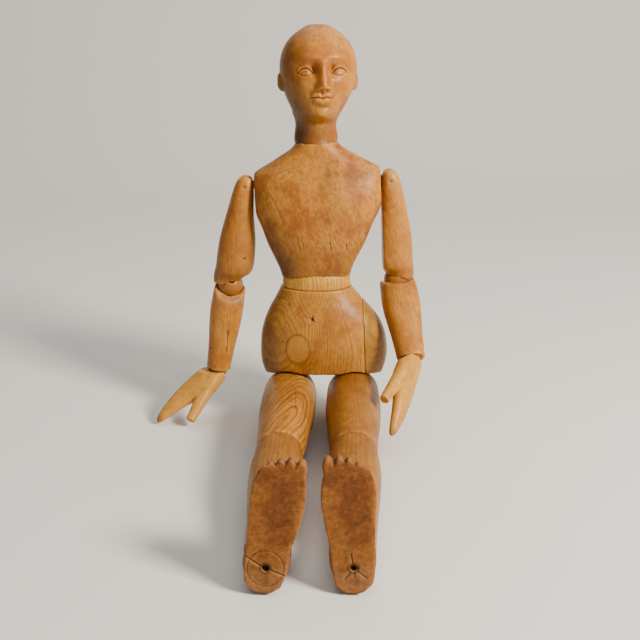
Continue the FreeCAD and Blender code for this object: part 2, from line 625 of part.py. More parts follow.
def ankle_ball(side):
    """The ankle's ball turns on its peg in the shin, and its slot runs right across for the foot to rock."""
    ball = knob(ANKLE, open_slot(ANKLE))
    return placed(ball, frame(ANKLE_AT[side], unit(SHIN_ALONG[side]) * -1, ANKLE_AXIS[side]))


def ankle_pin(side):
    return placed(cross_pin(ANKLE, ANKLE["ball"] - 0.5),
                  frame(ANKLE_AT[side], unit(SHIN_ALONG[side]) * -1, ANKLE_AXIS[side]))


def foot_frame(side):
    return frame(ANKLE_AT[side], FOOT_ALONG[side], FOOT_ACROSS[side])


def ankle_tongue(side):
    size = dict(ANKLE, deep=ANKLE_HEIGHT - HEEL_HOLE_DEPTH)
    return placed(tongue(size), frame(ANKLE_AT[side], unit(FOOT_ALONG[side]) * -1, ANKLE_AXIS[side]))


def foot(side):
    """A bare foot with a flat sole and five carved toes, drilled up through the heel."""
    sole = -ANKLE_HEIGHT
    rows = [
        (-HEEL_BACK, 7.5, 10.0, 0),
        (-HEEL_BACK + 4, 11.4, 17.0, 0),
        (-8, 13.8, 26.0, 0),
        (6, 14.8, 27.0, 0),
        (22, 16.2, 22.0, side * -0.3),
        (40, 18.2, 16.0, side * -0.8),
        (52, 18.8, 12.8, side * -0.6),
        (64, 16.8, 10.2, side * -0.6),
        (70, 13.6, 8.8, side * -1.4),
    ]
    block = Part.makeLoft([ring(-y, hx, top, top, x, 0, 2.3) for y, hx, top, x in rows], True, False)
    block = placed(block, FreeCAD.Placement(V(0, 0, sole), FreeCAD.Rotation(V(1, 0, 0), -90)))
    for across, reach, half, high in TOES:
        toe = spheroid(half, TOE_LENGTH)
        toe.translate(V(side * -across, TOE_LENGTH - reach, sole + high))
        block = block.fuse(toe)
    column = loft((-16, 14.8, 15.6, 14.8), (-ANKLE_OPEN, 16.6, 15.8, 15.6))
    block = block.fuse(column).cut(beyond(V(0, 0, sole), V(0, 0, -1)))
    block = block.cut(beyond(V(0, 0, -ANKLE_OPEN), V(0, 0, 1)))
    block = block.cut(Part.makeSphere(ANKLE["ball"] + SOCKET_GAP))
    block = block.cut(rod(ANKLE["peg"], V(0, 0, 0), V(0, 0, sole + HEEL_HOLE_DEPTH)))
    block = block.cut(rod(HEEL_HOLE_RADIUS, V(0, 0, sole - 1), V(0, 0, sole + HEEL_HOLE_DEPTH)))
    return one(placed(one(block), foot_frame(side)))


PAIRED = (shoulder_peg, shoulder_pin, upper_arm, elbow_tongue, elbow_ball, elbow_pin, forearm,
          wrist_ball, wrist_pin, wrist_tongue, hand, hip_tongue, hip_ball, hip_pin, thigh,
          knee_tongue, knee_ball, knee_pin, shin, ankle_ball, ankle_pin, ankle_tongue, foot)
SINGLE = (pelvis, pelvis_side_block, waist_ball, waist_pin, waist_tongue, torso, neck_tongue, neck_pin, head)


def build():
    shapes = {make.__name__: make() for make in SINGLE}
    for side in (RIGHT, LEFT):
        for make in PAIRED:
            shapes[make.__name__ + "_" + NAMES[side]] = make(side)
    return shapes


def to_origin(shapes):
    """The shift that puts the middle of the figure's underside at the origin."""
    bounds = FreeCAD.BoundBox()
    for shape in shapes.values():
        bounds.add(shape.optimalBoundingBox(False))
    return V(-bounds.Center.x, -bounds.Center.y, -bounds.ZMin)


if __name__ == "__main__":
    os.makedirs("parts", exist_ok=True)
    pieces = build()
    shift = to_origin(pieces)
    for name, shape in pieces.items():
        shape.translate(shift)
        shape.exportStep("parts/" + name + ".step")
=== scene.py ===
import json
import math

import bmesh
import bpy
import numpy as np
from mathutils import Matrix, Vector


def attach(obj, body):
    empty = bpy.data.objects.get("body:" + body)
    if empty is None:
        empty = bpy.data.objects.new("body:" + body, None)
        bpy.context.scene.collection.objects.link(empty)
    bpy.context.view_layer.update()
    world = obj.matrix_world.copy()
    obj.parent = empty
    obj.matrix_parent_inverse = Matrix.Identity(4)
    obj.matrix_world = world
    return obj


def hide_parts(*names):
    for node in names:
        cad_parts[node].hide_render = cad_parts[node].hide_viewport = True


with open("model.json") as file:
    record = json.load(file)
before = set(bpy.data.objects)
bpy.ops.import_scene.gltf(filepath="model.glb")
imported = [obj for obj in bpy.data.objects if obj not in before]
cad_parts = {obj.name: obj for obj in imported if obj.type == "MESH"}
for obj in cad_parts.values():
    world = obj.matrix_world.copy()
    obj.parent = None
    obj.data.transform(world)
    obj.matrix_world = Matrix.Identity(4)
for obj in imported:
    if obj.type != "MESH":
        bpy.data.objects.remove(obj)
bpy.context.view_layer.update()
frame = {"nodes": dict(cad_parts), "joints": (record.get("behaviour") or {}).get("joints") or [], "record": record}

MM = 0.001
SIDES = ("right", "left")
JOINTS = {j["name"]: j for j in frame["joints"]}
MOUNTS = {m["name"]: m for m in frame["record"]["mounts"]}
GAPS = {gap["name"]: gap["box_m"] for gap in frame["record"]["physics"]["openings"]}
KNOT_DEPTH = 14.0                   # how far a knot reaches below the surface, mm
BODY_OF = {node: body for body, nodes in frame["record"]["behaviour"]["bodies"].items() for node in nodes}


# ------------------------------------------------------------------ places, from the frame

def joint_at(name):
    return np.array(JOINTS[name]["pos_m"])


def unit(v):
    v = np.asarray(v, float)
    return v / np.linalg.norm(v)


def limb_axes(along, across):
    """Rows are a limb's own X, Y and Z. -Z runs along the limb and X is as near as can be to across."""
    z = -unit(along)
    x = unit(np.asarray(across) - z * np.dot(across, z))
    return np.array([x, np.cross(z, x), z])


def mesh_points(node):
    """A CAD node's vertices, in metres."""
    mesh = frame["nodes"][node].data
    co = np.empty(len(mesh.vertices) * 3)
    mesh.vertices.foreach_get("co", co)
    return co.reshape(-1, 3)


def farthest(node, start):
    points = mesh_points(node)
    return points[np.argmax(np.linalg.norm(points - start, axis=1))]


def find_places():
    """Each carved block's own frame, as (origin, axes)."""
    places = {}
    waist = joint_at("waist_bend")
    spine = np.array(JOINTS["head_turn"]["axis"])
    chest_x = -np.array(JOINTS["waist_bend"]["axis"])
    places["torso"] = (waist, limb_axes(-spine, chest_x))
    places["waist_ball"] = (waist, limb_axes((0, 0, -1), (1, 0, 0)))
    hips = (joint_at("hip_swing_right") + joint_at("hip_swing_left")) / 2
    places["pelvis"] = (hips, limb_axes((0, 0, -1), (1, 0, 0)))
    places["pelvis_side_block"] = places["pelvis"]
    nod = np.array(JOINTS["head_nod"]["axis"]) * (1, 1, 0)
    places["head"] = (joint_at("head_nod"), limb_axes((0, 0, -1), nod))
    for side in SIDES:
        shoulder, elbow = joint_at("shoulder_swing_" + side), joint_at("elbow_bend_" + side)
        wrist, hip = joint_at("wrist_bend_" + side), joint_at("hip_swing_" + side)
        knee, ankle = joint_at("knee_bend_" + side), joint_at("ankle_bend_" + side)
        bend = -np.array(JOINTS["elbow_bend_" + side]["axis"])
        sole = np.array(MOUNTS["sole_" + side]["axis"])
        toes = np.array(MOUNTS["sole_" + side]["pos_m"]) - np.array(MOUNTS["heel_hole_" + side]["pos_m"])
        places["upper_arm_" + side] = (shoulder, limb_axes(elbow - shoulder, bend))
        places["forearm_" + side] = (elbow, limb_axes(wrist - elbow, bend))
        places["elbow_ball_" + side] = places["forearm_" + side]
        places["wrist_ball_" + side] = (wrist, places["forearm_" + side][1])
        finger = farthest("hand_" + side, wrist) - wrist
        thumb = np.mean(GAPS["thumb_gap_" + side], axis=0) - wrist
        places["hand_" + side] = (wrist, limb_axes(finger, thumb))
        places["thigh_" + side] = (hip, limb_axes(knee - hip, (1, 0, 0)))
        places["hip_ball_" + side] = places["thigh_" + side]
        places["shin_" + side] = (knee, limb_axes(ankle - knee, (1, 0, 0)))
        places["knee_ball_" + side] = places["shin_" + side]
        places["ankle_ball_" + side] = (ankle, places["shin_" + side][1])
        places["foot_" + side] = (ankle, limb_axes(sole, np.cross(sole, -toes)))
    return places


PLACES = find_places()


# ------------------------------------------------------------------ vertex tools

def lattice_noise(points, size, seed):
    """Smooth noise from -1 to 1 at points, with blobs about size across. size may be one number or three."""
    p = points / size
    cell = np.floor(p).astype(np.int64)
    f = p - cell
    f = f * f * (3 - 2 * f)
    total = np.zeros(len(p))
    for corner in range(8):
        step = np.array([corner & 1, corner >> 1 & 1, corner >> 2 & 1])
        c = cell + step
        h = (c[:, 0] * 73856093) ^ (c[:, 1] * 19349663) ^ (c[:, 2] * 83492791) ^ (seed * 2654435761)
        h = (h ^ (h >> 13)) * 1274126177
        value = ((h ^ (h >> 16)) & 0xFFFF) / 32767.5 - 1
        weight = np.prod(np.where(step, f, 1 - f), axis=1)
        total += value * weight
    return total


def smooth_step(low, high, value):
    t = np.clip((value - low) / (high - low), 0, 1)
    return t * t * (3 - 2 * t)


def bump_at(x, z, cx, cz, wide, high):
    return np.exp(-((x - cx) / wide) ** 2 - ((z - cz) / high) ** 2)


def band(value, middle, width):
    return np.exp(-((value - middle) / width) ** 2)


class Carving:
    """A copy of one CAD block, remeshed finely so that it can be worked like wood. Lengths are in mm."""

    def __init__(self, node, voxel=0.9, smooth=6):
        self.node = node
        self.origin, self.axes = PLACES[node]
        mesh = frame["nodes"][node].data.copy()
        work = bmesh.new()
        work.from_mesh(mesh)
        bmesh.ops.remove_doubles(work, verts=work.verts, dist=1e-6)
        work.to_mesh(mesh)
        work.free()
        self.piece = bpy.data.objects.new("carved_" + node, mesh)
        bpy.context.collection.objects.link(self.piece)
        self.remesh(voxel, smooth)
        self.cuts = []

    def remesh(self, voxel, smooth):
        remesh = self.piece.modifiers.new("remesh", "REMESH")
        remesh.mode = "VOXEL"
        remesh.voxel_size = voxel * MM
        if smooth:
            soften = self.piece.modifiers.new("soften", "SMOOTH")
            soften.factor = 0.5
            soften.iterations = smooth
        graph = bpy.context.evaluated_depsgraph_get()
        made = bpy.data.meshes.new_from_object(self.piece.evaluated_get(graph))
        self.piece.modifiers.clear()
        self.take(made)

    def take(self, mesh):
        self.piece.data = mesh
        mesh.materials.clear()
        mesh.polygons.foreach_set("use_smooth", [True] * len(mesh.polygons))

    def refine(self, where):
        """Splits the faces that touch the vertices in where, for finer work there."""
        work = bmesh.new()
        work.from_mesh(self.piece.data)
        work.verts.ensure_lookup_table()
        edges = [e for e in work.edges if where[e.verts[0].index] and where[e.verts[1].index]]
        bmesh.ops.subdivide_edges(work, edges=edges, cuts=1, use_grid_fill=True)
        bmesh.ops.triangulate(work, faces=[f for f in work.faces if len(f.verts) > 4])
        work.to_mesh(self.piece.data)
        work.free()
        self.take(self.piece.data)

    @property
    def local(self):
        co = np.empty(len(self.piece.data.vertices) * 3)
        self.piece.data.vertices.foreach_get("co", co)
        return (co.reshape(-1, 3) - self.origin) @ self.axes.T / MM

    @property
    def normals(self):
        n = np.empty(len(self.piece.data.vertices) * 3)
        self.piece.data.vertices.foreach_get("normal", n)
        return n.reshape(-1, 3) @ self.axes.T

    def set_local(self, points):
        world = points * MM @ self.axes + self.origin
        self.piece.data.vertices.foreach_set("co", world.astype(np.float32).ravel())
        self.piece.data.update()

    def push(self, amount):
        """Moves each vertex along its normal by amount, in mm."""
        self.set_local(self.local + self.normals * np.asarray(amount)[:, None])

    def tool_marks(self, depth=0.2, seed=1):
        p = self.local
        marks = lattice_noise(p, np.array([9.0, 9.0, 26.0]), seed) + 0.5 * lattice_noise(p, 5.0, seed + 7)
        self.push(depth * marks)

    def wear_edges(self, depth=0.5, seed=3):
        """Knocks small uneven chips off the sharp edges."""
        p = self.local
        sharp = np.clip(-self.hollows() * 7, 0, 1)
        bites = smooth_step(0.1, 0.7, lattice_noise(p, 4.5, seed))
        self.push(-depth * sharp * (0.35 + bites))

    def gouge(self, start, end, width, depth, dirt_and_painted_shade=0.9, facing=(0, -1, 0)):
        """A cut along a straight line on the side that faces the given way. The ends fade out."""
        a, b, look = np.array(start, float), np.array(end, float), unit(facing)
        for _ in range(2 if width < 0.7 else 1):
            self.refine((self.from_line(a, b) < width * 2.2) & (self.normals @ look > 0.1))
        self.push(-depth * self.cut_shape(a, b, width, look))
        self.cuts.append((a, b, width, look, dirt_and_painted_shade))

    def cut_shape(self, a, b, width, look):
        return np.exp(-(self.from_line(a, b) / width) ** 2) * smooth_step(0.0, 0.3, self.normals @ look)

    def from_line(self, a, b):
        p, along = self.local, b - a
        t = np.clip((p - a) @ along / max(along @ along, 1e-9), 0, 1)
        return np.linalg.norm(p - a - t[:, None] * along, axis=1)

    def surface_point(self, x, z, front=-1):
        """The surface point nearest the line through (x, z) along Y, on the front or the back."""
        p, n = self.local, self.normals
        off = np.hypot(p[:, 0] - x, p[:, 2] - z) + np.where(n[:, 1] * front > 0.1, 0, 1e3)
        return p[np.argmin(off)]

    def pit(self, x, z, radius, depth, dirt_and_painted_shade=0.95, front=-1):
        # The pit is painted dark too: painted shade of a deeper hole, with dirt.
        spot = self.surface_point(x, z, front)
        self.gouge(spot, spot + 1e-3, radius, depth, dirt_and_painted_shade, (0, front, 0))

    def scratch(self, x0, z0, x1, z1, width, depth, dirt_and_painted_shade=0.8, front=-1):
        self.gouge(self.surface_point(x0, z0, front), self.surface_point(x1, z1, front), width, depth, dirt_and_painted_shade,
                   (0, front, 0))

    def neighbours(self):
        mesh = self.piece.data
        edges = np.empty(len(mesh.edges) * 2, np.int64)
        mesh.edges.foreach_get("vertices", edges)
        edges = edges.reshape(-1, 2)
        a = np.concatenate([edges[:, 0], edges[:, 1]])
        b = np.concatenate([edges[:, 1], edges[:, 0]])
        return a, b, np.maximum(np.bincount(a, minlength=len(mesh.vertices)), 1)

    def hollows(self, rounds=6):
        """How hollow the surface is at each vertex: above 0 in a groove, below 0 on a worn edge."""
        a, b, count = self.neighbours()
        p, n = self.local, self.normals
        mean = np.stack([np.bincount(a, weights=p[b, k], minlength=len(p)) / count for k in range(3)], 1)
        span = np.bincount(a, weights=np.linalg.norm(p[a] - p[b], axis=1), minlength=len(p)) / count
        value = np.einsum("ij,ij->i", mean - p, n) / np.maximum(span, 0.05) ** 2
        value = np.clip(value * 0.8, -0.6, 0.6)
        for _ in range(rounds):
            value = 0.4 * value + 0.6 * np.bincount(a, weights=value[b], minlength=len(p)) / count
        return value

    def finish(self, wood, grain, knots=(), painted_shading=0.0, dirt_and_painted_shade=0.0):
        """Stores what the wood's material reads, and hands the piece to its body."""
        p = self.local
        hollow = self.hollows()
        put(self.piece, "grain", grain_field(p, grain, knots))
        ratio, swirl = knot_field(p, knots)
        put(self.piece, "marks", np.stack([np.clip(hollow * 5, 0, 1), np.clip(-hollow * 5, 0, 1), ratio], 1))
        # Darkens stains, dirt and cuts; in the pits and nostrils this dark is painted shade.
        dark = np.zeros(len(p)) + dirt_and_painted_shade
        for a, b, width, look, strength in self.cuts:
            dark = np.maximum(dark, strength * self.cut_shape(a, b, width * 0.9, look))
        put(self.piece, "tint", np.stack([np.zeros(len(p)) + painted_shading, dark, swirl], 1))
        self.piece.data.materials.append(wood)
        hand_over(self.piece, self.node)
        return self.piece


def put(piece, name, values):
    layer = piece.data.attributes.new(name, "FLOAT_VECTOR", "POINT")
    layer.data.foreach_set("vector", np.asarray(values, np.float32).ravel())


def grain_field(p, grain, knots):
    """Wood coordinates: X and Y run across the log from its heart, and Z along it."""
    heart_x, heart_y, slant_x, slant_y = grain
    g = np.stack([p[:, 0] - heart_x + slant_x * p[:, 2], p[:, 1] - heart_y + slant_y * p[:, 2], p[:, 2]], 1)
    for centre, radius, facing in knots:
        reach = np.linalg.norm(from_axis(p, centre, facing) * (1, 1, 0.5), axis=1)
        swell = np.exp(-(reach / (radius * 2.2)) ** 2)
        away = unit(np.array([-heart_x, -heart_y, 0.0]) + 1e-6)
        g += np.outer(swell * radius * 1.1, away)
    return g


def from_axis(p, centre, facing):
    """Each point's offset from the line through centre that faces the given way."""
    d, way = p - centre, unit(facing)
    return d - np.outer(d @ way, way)


def knot_field(p, knots):
    """Distance to the nearest knot in knot radii, and in mm, for its own small rings."""
    nearest, rings = np.full(len(p), 9.0), np.zeros(len(p))
    for centre, radius, facing in knots:
        ratio = np.linalg.norm(from_axis(p, centre, facing) * (1, 1, 0.75), axis=1) / radius
        ratio = np.where(np.abs((p - centre) @ unit(facing)) < KNOT_DEPTH, ratio, 9.0)
        rings = np.where(ratio < nearest, ratio * radius, rings)
        nearest = np.minimum(nearest, ratio)
    return nearest, rings


def hand_over(piece, node):
    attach(piece, BODY_OF[node])
    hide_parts(node)


# ------------------------------------------------------------------ wood

class Nodes:
    """Short calls for building a material's nodes."""

    def __init__(self, name):
        self.material = bpy.data.materials.new(name)
        self.material.use_nodes = True
        self.tree = self.material.node_tree
        self.tree.nodes.clear()

    def add(self, kind, inputs=None, **settings):
        made = self.tree.nodes.new(kind)
        for key, value in settings.items():
            setattr(made, key, value)
        for key, value in (inputs or {}).items():
            socket = made.inputs[key]
            if isinstance(value, bpy.types.NodeSocket):
                self.tree.links.new(value, socket)
            else:
                socket.default_value = value
        return made

    def math(self, operation, a, b=0.0, c=0.0):
        return self.add("ShaderNodeMath", {0: a, 1: b, 2: c}, operation=operation).outputs[0]

    def vector(self, operation, a, b=(0, 0, 0)):
        made = self.add("ShaderNodeVectorMath", {0: a, 1: b}, operation=operation)
        return made.outputs["Value" if operation in ("LENGTH", "DOT_PRODUCT") else "Vector"]

    def attribute(self, name):
        return self.add("ShaderNodeAttribute", attribute_name=name).outputs["Vector"]

    def noise(self, where, scale, detail=3.0, rough=0.55, colour=False):
        made = self.add("ShaderNodeTexNoise",
                        {"Vector": where, "Scale": scale, "Detail": detail, "Roughness": rough})
        return made.outputs["Color" if colour else "Fac"]

    def ramp(self, factor, low, high, out_low=0.0, out_high=1.0):
        made = self.add("ShaderNodeMapRange", {0: factor, 1: low, 2: high, 3: out_low, 4: out_high},
                        interpolation_type="SMOOTHSTEP")
        return made.outputs[0]

    def mix(self, factor, a, b, blend="MIX"):
        made = self.add("ShaderNodeMix", data_type="RGBA", blend_type=blend, clamp_factor=True)
        for socket, value in ((made.inputs[0], factor), (made.inputs[6], a), (made.inputs[7], b)):
            if isinstance(value, bpy.types.NodeSocket):
                self.tree.links.new(value, socket)
            else:
                socket.default_value = value
        return made.outputs[2]


def rgb(r, g, b):
    """A colour from 0 to 255, as shown, in the linear values that shaders take."""
    return tuple(((v / 255 + 0.055) / 1.055) ** 2.4 for v in (r, g, b)) + (1.0,)


def make_wood(name, early, late, spacing=2.2, waver=3.0, contrast=0.8, gloss=0.42, varnish=0.12, scuffs=0.4,
              patches=0.4, fibre=0.5, dull_bump=0.3):
    """Old pine: growth rings with a dark line each, fibres, resin streaks, patches, dirt and rubbed edges, with
    painted light and painted shade over them.

    It reads the attributes grain (see grain_field), marks (hollow, edge, knot) and tint (painted light and shade,
    dirt with painted shade in pits and nostrils, rings).
    """
    n = Nodes(name)
    grain = n.attribute("grain")
    marks = n.add("ShaderNodeSeparateXYZ", {0: n.attribute("marks")})
    tint = n.add("ShaderNodeSeparateXYZ", {0: n.attribute("tint")})
    hollow, edge, knot = marks.outputs[0], marks.outputs[1], marks.outputs[2]
    painted_shading, dirt_and_painted_shade, swirl = tint.outputs[0], tint.outputs[1], tint.outputs[2]

    drift = n.noise(n.vector("MULTIPLY", grain, (0.030, 0.030, 0.011)), 1.0, 2.0, colour=True)
    drift = n.vector("MULTIPLY", n.vector("SUBTRACT", drift, (0.5, 0.5, 0.5)), (waver * 2, waver * 2, 0))
    log = n.add("ShaderNodeSeparateXYZ", {0: n.vector("ADD", grain, drift)})
    across = n.add("ShaderNodeCombineXYZ", {0: log.outputs[0], 1: log.outputs[1]}).outputs[0]
    radius = n.vector("LENGTH", across)
    wobble = n.noise(n.vector("MULTIPLY", grain, (0.5, 0.5, 0.05)), 1.0, 2.0)
    radius = n.math("ADD", radius, n.math("MULTIPLY", wobble, 0.7))
    uneven = n.add("ShaderNodeTexNoise", {"W": n.math("MULTIPLY", radius, 0.11), "Scale": 1.0, "Detail": 2.0},
                   noise_dimensions="1D").outputs["Fac"]
    turns = n.math("ADD", n.math("DIVIDE", radius, spacing), n.math("MULTIPLY", uneven, 2.2))
    phase = n.math("FRACT", turns)
    hard = n.math("MULTIPLY", n.ramp(phase, 0.35, 0.9), n.ramp(phase, 1.0, 0.93))
    strength = n.noise(n.vector("MULTIPLY", grain, (0.04, 0.04, 0.02)), 1.0, 1.0)
    hard = n.math("MULTIPLY", hard, n.math("MULTIPLY_ADD", strength, 0.9, contrast - 0.45))

    streak = n.noise(n.vector("MULTIPLY", grain, (2.4, 2.4, 0.07)), 1.0, 4.0, 0.65)
    speck = n.noise(n.vector("MULTIPLY", grain, (3.6, 3.6, 0.45)), 1.0, 1.0)
    speck = n.ramp(speck, 0.70, 0.78)
    patch = n.noise(n.vector("MULTIPLY", grain, (0.035, 0.035, 0.025)), 1.0, 3.0, 0.6)
    blotch = n.noise(n.vector("MULTIPLY", grain, (0.11, 0.11, 0.07)), 1.0, 4.0, 0.65)
    mottle = n.noise(n.vector("MULTIPLY", grain, (0.34, 0.34, 0.2)), 1.0, 5.0, 0.7)

    colour = n.mix(hard, early, late)
    colour = n.mix(n.ramp(streak, 0.35, 0.72, 0.0, fibre * 0.55), colour, late)
    deep = tuple(c * 0.42 for c in late[:3]) + (1.0,)
    pale = tuple(min(1.0, c * 1.2) for c in early[:3]) + (1.0,)
    warm = (late[0] * 1.1, late[1] * 0.98, late[2] * 0.85, 1.0)
    colour = n.mix(n.ramp(patch, 0.44, 0.62, 0.0, patches), colour, warm)
    colour = n.mix(n.ramp(blotch, 0.52, 0.68, 0.0, patches * 0.5), colour, deep)
    colour = n.mix(n.ramp(mottle, 0.48, 0.62, 0.0, patches * 0.7), colour, late)
    colour = n.mix(n.ramp(mottle, 0.46, 0.34, 0.0, patches * 0.5), colour, pale)
    colour = n.mix(n.math("MULTIPLY", speck, 0.5), colour, deep)

    uneven_swirl = n.math("ADD", swirl, n.math("MULTIPLY", blotch, 2.0))
    small_rings = n.ramp(n.math("PINGPONG", uneven_swirl, 0.9), 0.2, 0.8)
    heartwood = n.mix(n.math("MULTIPLY", small_rings, 0.6), early, late)
    colour = n.mix(n.ramp(knot, 1.2, 0.7, 0.0, 0.8), colour, heartwood)
    rim = n.math("MULTIPLY", n.ramp(knot, 0.84, 0.98), n.ramp(knot, 1.18, 1.04))
    colour = n.mix(n.math("MULTIPLY", rim, n.math("MULTIPLY", blotch, 0.9)), colour, deep)

    rubbed = tuple(min(1.0, c * 1.25 + 0.02) for c in early[:3]) + (1.0,)
    colour = n.mix(n.math("MULTIPLY", edge, n.math("MULTIPLY_ADD", streak, 0.9, 0.15)), colour, rubbed)
    grime = (0.035, 0.016, 0.007, 1.0)
    colour = n.mix(n.math("MULTIPLY", hollow, 0.75), colour, grime)
    scratch = n.noise(n.vector("MULTIPLY", grain, (0.9, 0.9, 0.9)), 1.0, 6.0, 0.75)
    colour = n.mix(n.math("MULTIPLY", n.ramp(scratch, 0.58, 0.70), scuffs), colour, deep)
    colour = n.mix(n.math("MULTIPLY", n.ramp(scratch, 0.40, 0.30), scuffs * 0.6), colour, rubbed)
    # Stains and dirt darken the colour here, and so does painted shade in the pits and nostrils.
    colour = n.mix(dirt_and_painted_shade, colour, (0.02, 0.011, 0.007, 1.0))
    # Painted light and painted shade: above 0 the colour turns paler, as on a lit side; below 0 it turns nearly
    # black, as on a side in shade.
    lighter = n.mix(n.ramp(painted_shading, 0.0, 1.0), colour, (0.95, 0.78, 0.52, 1.0))
    darker = n.mix(n.ramp(painted_shading, 0.0, -1.0), lighter, (0.03, 0.012, 0.004, 1.0))

    height = n.math("MULTIPLY_ADD", hard, 0.5, n.math("MULTIPLY", streak, 0.7))
    height = n.math("SUBTRACT", height, n.math("MULTIPLY", speck, 0.8))
    height = n.math("MULTIPLY_ADD", scratch, 0.5, height)
    bump = n.add("ShaderNodeBump", {"Strength": dull_bump, "Distance": 0.00035, "Height": height})
    rough = n.math("MULTIPLY_ADD", streak, 0.16, n.math("MULTIPLY_ADD", patch, 0.18, gloss - 0.17))
    rough = n.math("MULTIPLY_ADD", hollow, 0.25, rough)
    shader = n.add("ShaderNodeBsdfPrincipled", {
        "Base Color": darker, "Roughness": rough, "Normal": bump.outputs[0], "Specular IOR Level": 0.2,
        "Coat Weight": varnish, "Coat Roughness": 0.3, "Coat IOR": 1.48})
    n.add("ShaderNodeOutputMaterial", {"Surface": shader.outputs[0]})
    return n.material


WOODS = {
    "trunk": make_wood(
        "pine_trunk", rgb(187, 125, 45), rgb(135, 76, 22),
        spacing=1.9, contrast=0.42, varnish=0.08, gloss=0.5, patches=0.85),
    "pelvis": make_wood(
        "pine_pelvis", rgb(185, 127, 48), rgb(131, 76, 23),
        spacing=2.0, waver=4.0, contrast=0.6, varnish=0.1, patches=0.5),
    "slab": make_wood(
        "pine_slab", rgb(158, 112, 39), rgb(110, 71, 20),
        spacing=2.0, contrast=0.5, varnish=0.1),
    "waist": make_wood(
        "pine_waist", rgb(205, 154, 57), rgb(153, 96, 25),
        spacing=2.8, waver=1.0, contrast=0.7, varnish=0.1),
    "head": make_wood(
        "pine_head", rgb(193, 129, 45), rgb(153, 89, 24),
        spacing=3.6, contrast=0.2, varnish=0.16, gloss=0.45, patches=0.9, fibre=0.5, scuffs=0.4),
    "arm": make_wood(
        "pine_arm", rgb(189, 127, 45), rgb(144, 84, 23),
        spacing=2.0, contrast=0.4, varnish=0.1, patches=0.6),
    "hand": make_wood(
        "pine_hand", rgb(203, 145, 55), rgb(162, 101, 31),
        spacing=2.4, contrast=0.35, varnish=0.08, patches=0.6),
    "leg": make_wood(
        "pine_leg", rgb(182, 119, 42), rgb(128, 73, 22),
        spacing=1.9, waver=3.0, contrast=0.55, varnish=0.08, patches=0.5),
    "coarse_leg": make_wood(
        "pine_leg_coarse", rgb(184, 124, 45), rgb(115, 66, 18),
        spacing=4.2, waver=4.0, contrast=0.8, varnish=0.08),
    "foot": make_wood(
        "pine_foot", rgb(142, 87, 32), rgb(94, 51, 17),
        spacing=2.2, contrast=0.3, gloss=0.8, varnish=0.0, scuffs=0.8, patches=0.8, dull_bump=0.7),
    "joint": make_wood(
        "hard_joint", rgb(166, 106, 39), rgb(121, 69, 20),
        spacing=1.4, varnish=0.15),
}


# ------------------------------------------------------------------ head

FACE_X = 2.2                        # middle of the face, left of the neck's middle
NOSE_X = 2.6
MOUTH_X = 0.9
EYES = (-12.6, 17.0)                # middles of the eyes across
EYE_Z = 50.6                        # corners of the eyes
EYE_HALF = 6.1
MOUTH_Z = 30.5
MOUTH_HALF = 8.8
EAR_FROM = 29.5                     # the ears stand out past this half width
EAR_Z = 40.6


# Height in the head, how far forward the plain egg reaches there, and its half width.
EGG_ROWS = ((9, 23.0, 18.8), (17, 28.5, 22.5), (26, 31.0, 27.0), (37, 32.5, 31.0), (48, 33.0, 33.2),
            (60, 32.0, 32.8), (71, 27.5, 29.0))


def egg_front(x, z):
    """How far forward the plain egg of the head reaches, without its nose."""
    levels, fronts, halves = zip(*EGG_ROWS)
    across = np.clip(np.abs(x - FACE_X) / np.interp(z, levels, halves), 0, 1)
    return np.interp(z, levels, fronts) * (1 - across ** 2.15) ** (1 / 2.15)


def broad_face(x, z):
    dx = np.abs(x - FACE_X)
    depth = -3.2 * bump_at(dx, z, 13.5, 53.0, 8.5, 6.0)
    depth -= 3.6 * bump_at(dx, z, 7.6, 53.5, 3.8, 6.0)
    depth += 1.5 * band(z, 64.0 - 1.4 * ((dx - 12.0) / 9.0) ** 2, 3.0) * smooth_step(25, 13, dx)
    depth += 1.0 * bump_at(dx, z, 17.0, 41.5, 8.0, 7.0)
    depth += 2.0 * bump_at(x, z, MOUTH_X, 29.5, 11.0, 7.5)
    depth += 4.0 * bump_at(x, z, MOUTH_X, 15.5, 10.0, 4.6)
    depth -= 1.8 * bump_at(x, z, MOUTH_X, 7.5, 14.0, 3.0)
    return depth - 0.9 * bump_at(dx, z, 10.5, 35.0, 3.0, 5.0)


def nose(x, z):
    levels = (34.6, 35.8, 36.8, 38.0, 39.5, 41.5, 44.5, 48.5, 53.5, 57.5, 62.0)
    ridge = np.interp(z, levels, (0.0, 0.9, 2.8, 5.0, 6.6, 7.0, 5.6, 3.9, 2.6, 1.7, 0.0))
    width = np.interp(z, (35, 38, 42, 47, 54, 60), (4.8, 4.8, 4.6, 4.5, 4.6, 6.5))
    dx = np.abs(x - NOSE_X)
    depth = ridge * band(dx, 0.0, width)
    depth += 1.5 * bump_at(dx, z, 4.2, 38.9, 2.1, 2.2)
    depth -= 0.7 * bump_at(dx, z, 7.6, 39.6, 2.0, 3.0)
    return depth


def eye(x, z, middle):
    """Heavy lids over a plain rounded eyeball."""
    u = (x - middle) / EYE_HALF
    arch = np.clip(1 - u ** 2, 0, 1)
    above = z - (EYE_Z + 3.9 * arch ** 0.8)
    below = EYE_Z - 1.5 * arch - z
    lids = smooth_step(1.22, 0.86, np.abs(u))
    ball = np.clip(arch - ((z - 51.8) / 4.2) ** 2, 0, 1) ** 0.5
    depth = 1.5 * ball * (above < 0.2) * (below < 0.2)
    depth += 0.8 * band(above, 1.6, 2.0) * lids - 1.4 * band(above, -0.3, 0.6) * lids
    depth -= 0.5 * bump_at(x, z, middle + np.sign(FACE_X - middle) * EYE_HALF, EYE_Z + 0.4, 2.2, 1.8)
    return depth + (0.3 * band(below, 1.6, 1.5) - 0.25 * band(below, 0.0, 0.6)) * lids


